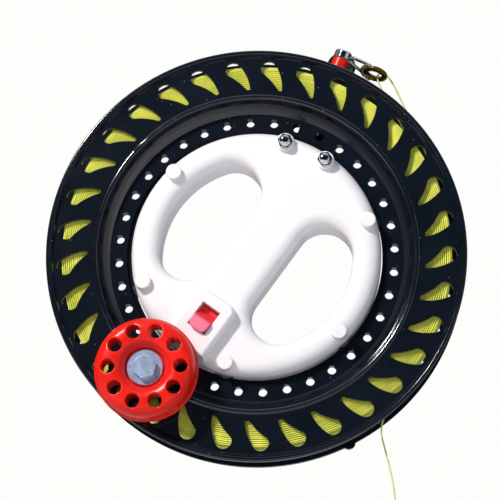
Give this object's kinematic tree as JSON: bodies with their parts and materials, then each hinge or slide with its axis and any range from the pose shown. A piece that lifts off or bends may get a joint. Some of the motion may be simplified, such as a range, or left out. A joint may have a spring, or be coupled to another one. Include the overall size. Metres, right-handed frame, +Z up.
{
  "type": "kite line winder",
  "caption": "Hand-held kite line reel: windowed spool on grooved rollers round a ring handle with grip bar, crank knob, slide brake and line guide.",
  "frame": {"origin": "centre of the grip bar, on the reel's spin axis and in the middle plane of the line channel", "axes": "+Z up as the winder is held, -Y to the front that carries the knob, +X to the right seen from the front"},
  "size_m": [0.22, 0.0495, 0.2764],
  "materials": {
    "white_plastic": "clean white moulded plastic, satin gloss",
    "black_plastic": "glossy black moulded plastic with light scratches",
    "red_plastic": "bright red moulded plastic",
    "brake_red": "pinkish red moulded plastic",
    "yellow_line": "braided yellow-green line",
    "zinc_steel": "blue-grey zinc plate",
    "bright_chrome": "polished chrome",
    "plate_steel": "polished steel sheet",
    "bearing_steel": "ground steel",
    "dark_eye": "dark glazed ceramic",
    "brass_bush": "turned brass"
  },
  "bodies": {
    "handle": {"handle_front_shell": "white_plastic", "handle_rear_shell": "white_plastic", "bearing_inner_rings": "bearing_steel", "roller_pins": "bearing_steel", "shell_screws": "zinc_steel", "guide_bracket": "plate_steel", "guide_bolts": "bright_chrome", "guide_dome_nuts": "bright_chrome", "guide_stud": "bright_chrome", "guide_ferrule": "bright_chrome", "guide_sleeve": "red_plastic", "guide_pin": "bright_chrome", "guide_wire_frame": "bright_chrome", "guide_eye": "dark_eye", "detent_spring": "plate_steel", "free_line": "yellow_line", "line_clip": "bright_chrome"},
    "brake": {"brake_slider": "brake_red", "brake_tongue": "plate_steel", "brake_rivet": "plate_steel"},
    "reel": {"reel_hub": "black_plastic", "front_flange": "black_plastic", "rear_flange": "black_plastic", "wound_line_core": "yellow_line", "wound_line_layer": "yellow_line", "knob_bush": "brass_bush", "knob_bolt": "zinc_steel", "knob_washer": "zinc_steel", "knob_insert": "brass_bush"},
    "knob": {"winding_knob": "red_plastic"},
    "roller_1": {"roller_1": "bearing_steel"},
    "roller_2": {"roller_2": "bearing_steel"},
    "roller_3": {"roller_3": "bearing_steel"},
    "roller_4": {"roller_4": "bearing_steel"},
    "roller_5": {"roller_5": "bearing_steel"},
    "roller_6": {"roller_6": "bearing_steel"}
  },
  "joints": [
    {"name": "reel_spin", "type": "hinge", "parent": "handle", "child": "reel", "pos_m": [0, 0, 0], "axis": [0, 1, 0], "continuous": true},
    {"name": "knob_spin", "type": "hinge", "parent": "reel", "child": "knob", "pos_m": [-0.05559, 0, -0.06364], "axis": [0, 1, 0], "continuous": true},
    {"name": "brake_slide", "type": "slide", "parent": "handle", "child": "brake", "axis": [-0.5878, 0, -0.809], "range_m": [0, 0.0045]},
    {"name": "roller_1_spin", "type": "hinge", "parent": "handle", "child": "roller_1", "pos_m": [0.05873, 0, 0.01574], "axis": [0, 1, 0], "continuous": true},
    {"name": "roller_2_spin", "type": "hinge", "parent": "handle", "child": "roller_2", "pos_m": [0.01574, 0, 0.05873], "axis": [0, 1, 0], "continuous": true},
    {"name": "roller_3_spin", "type": "hinge", "parent": "handle", "child": "roller_3", "pos_m": [-0.04299, 0, 0.04299], "axis": [0, 1, 0], "continuous": true},
    {"name": "roller_4_spin", "type": "hinge", "parent": "handle", "child": "roller_4", "pos_m": [-0.05873, 0, -0.01574], "axis": [0, 1, 0], "continuous": true},
    {"name": "roller_5_spin", "type": "hinge", "parent": "handle", "child": "roller_5", "pos_m": [-0.01574, 0, -0.05873], "axis": [0, 1, 0], "continuous": true},
    {"name": "roller_6_spin", "type": "hinge", "parent": "handle", "child": "roller_6", "pos_m": [0.04299, 0, -0.04299], "axis": [0, 1, 0], "continuous": true}
  ],
  "couplings": [
    {"joint": "roller_1_spin", "follows": "reel_spin", "ratio": 12.278},
    {"joint": "roller_2_spin", "follows": "reel_spin", "ratio": 12.278},
    {"joint": "roller_3_spin", "follows": "reel_spin", "ratio": 12.278},
    {"joint": "roller_4_spin", "follows": "reel_spin", "ratio": 12.278},
    {"joint": "roller_5_spin", "follows": "reel_spin", "ratio": 12.278},
    {"joint": "roller_6_spin", "follows": "reel_spin", "ratio": 12.278}
  ]
}
